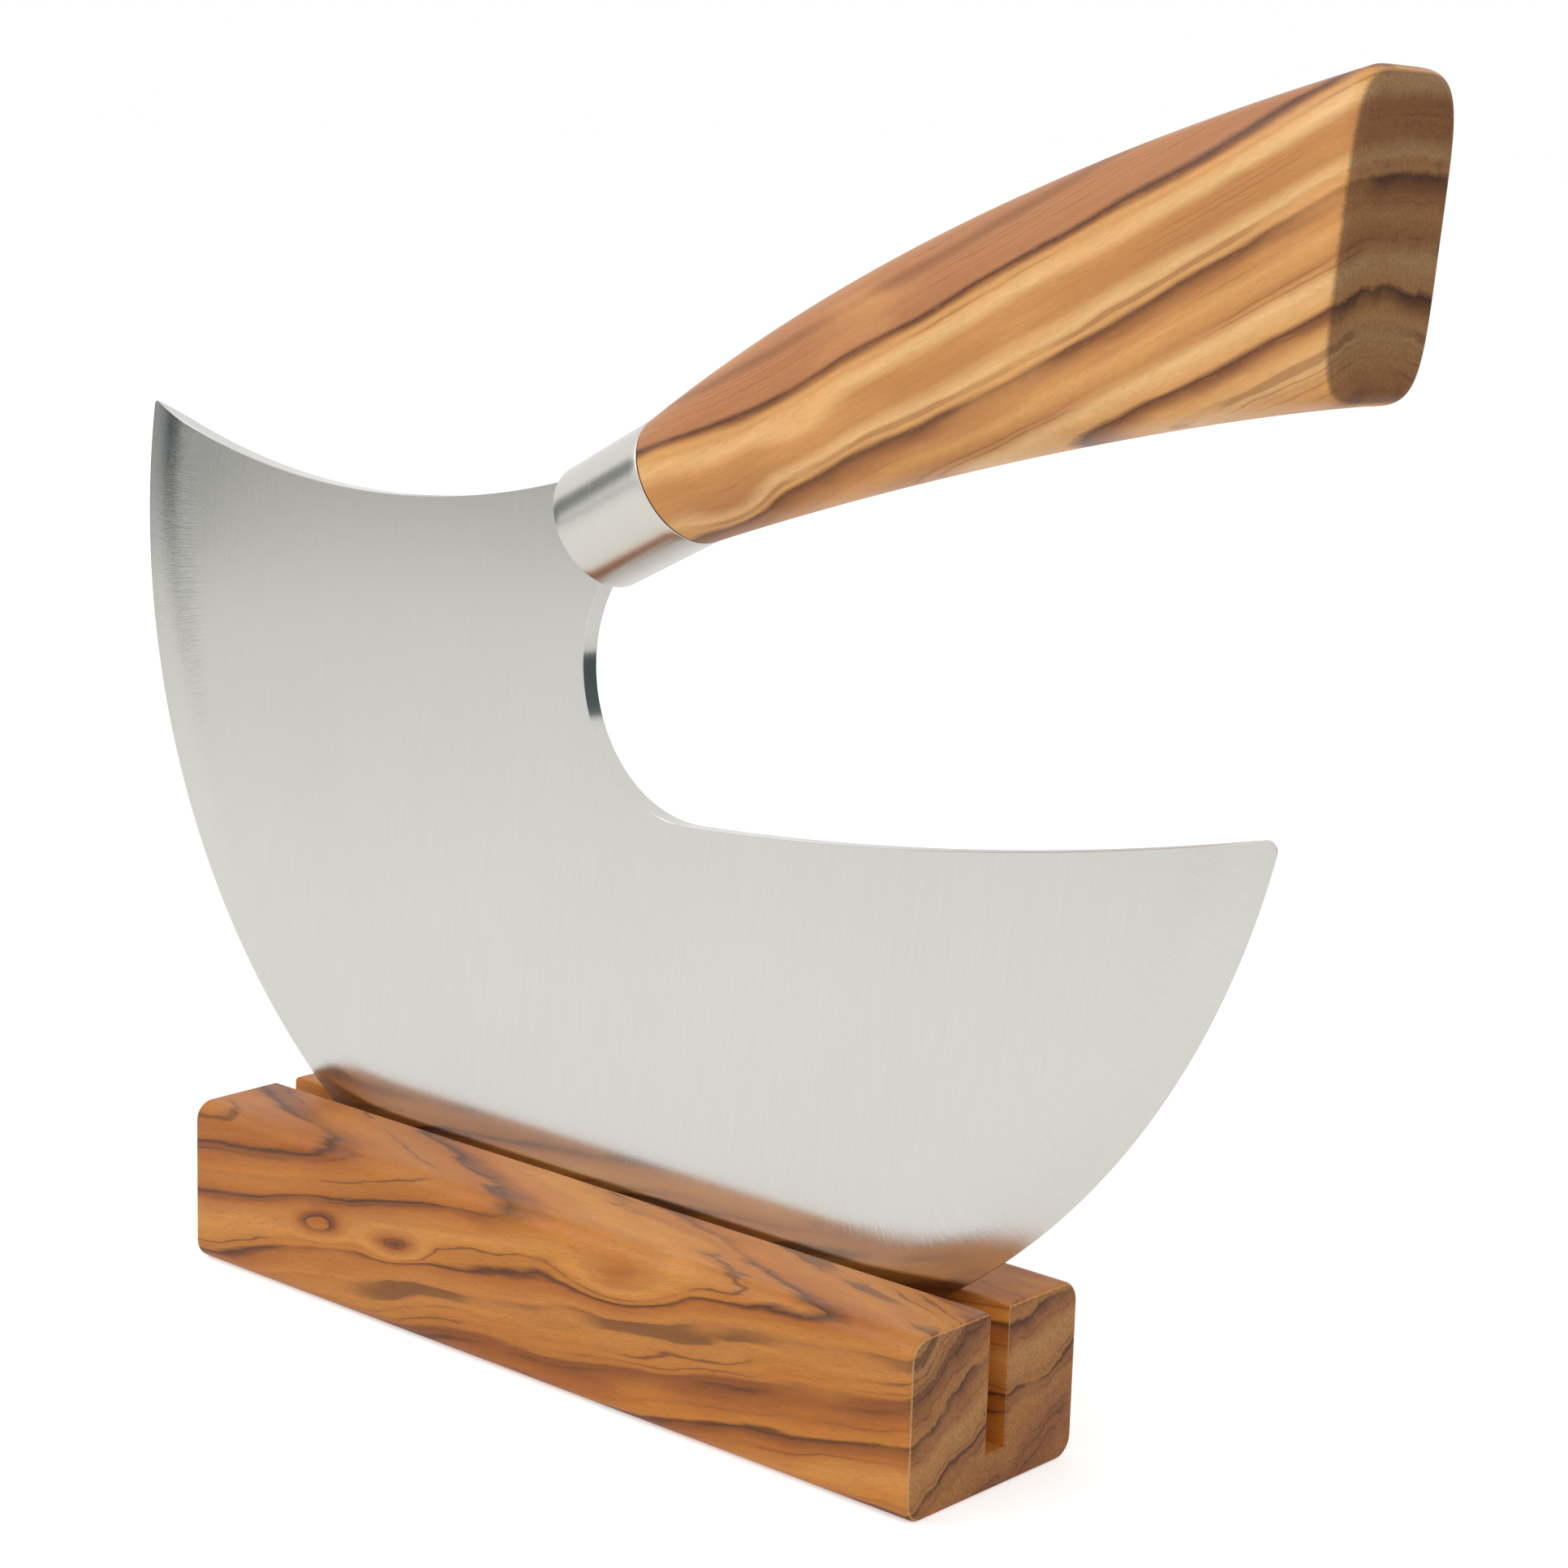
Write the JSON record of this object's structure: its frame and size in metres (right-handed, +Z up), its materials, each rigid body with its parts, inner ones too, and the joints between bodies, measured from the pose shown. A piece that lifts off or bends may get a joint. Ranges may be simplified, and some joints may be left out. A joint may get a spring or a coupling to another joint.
{
  "type": "mezzaluna",
  "caption": "Single-handled rocking herb knife with a round steel blade and an olive-wood handle, standing in a slotted olive-wood block.",
  "frame": {"origin": "middle of the wooden block's bottom face, on the surface the block stands on", "axes": "+X along the blade towards the handle's butt, +Y away from the picture's viewer across the block, +Z up"},
  "size_m": [0.238, 0.0375, 0.1944],
  "materials": {
    "stand_wood": "oiled olive wood with dark wavy veins",
    "blade_steel": "satin, fine brush lines up the blade",
    "ferrule_steel": "satin, brushed round the sleeve",
    "handle_wood": "oiled golden olive wood with dark thin veins and brown end grain",
    "resin": "dark cured adhesive"
  },
  "bodies": {
    "stand": {"stand": "stand_wood"},
    "knife": {"blade": "blade_steel", "ferrule": "ferrule_steel", "handle": "handle_wood", "tang_resin": "resin"}
  },
  "joints": [
    {"name": "lift_out", "type": "slide", "parent": "stand", "child": "knife", "axis": [0, 0.0408, 0.9992], "range_m": [0, 0.06]}
  ]
}
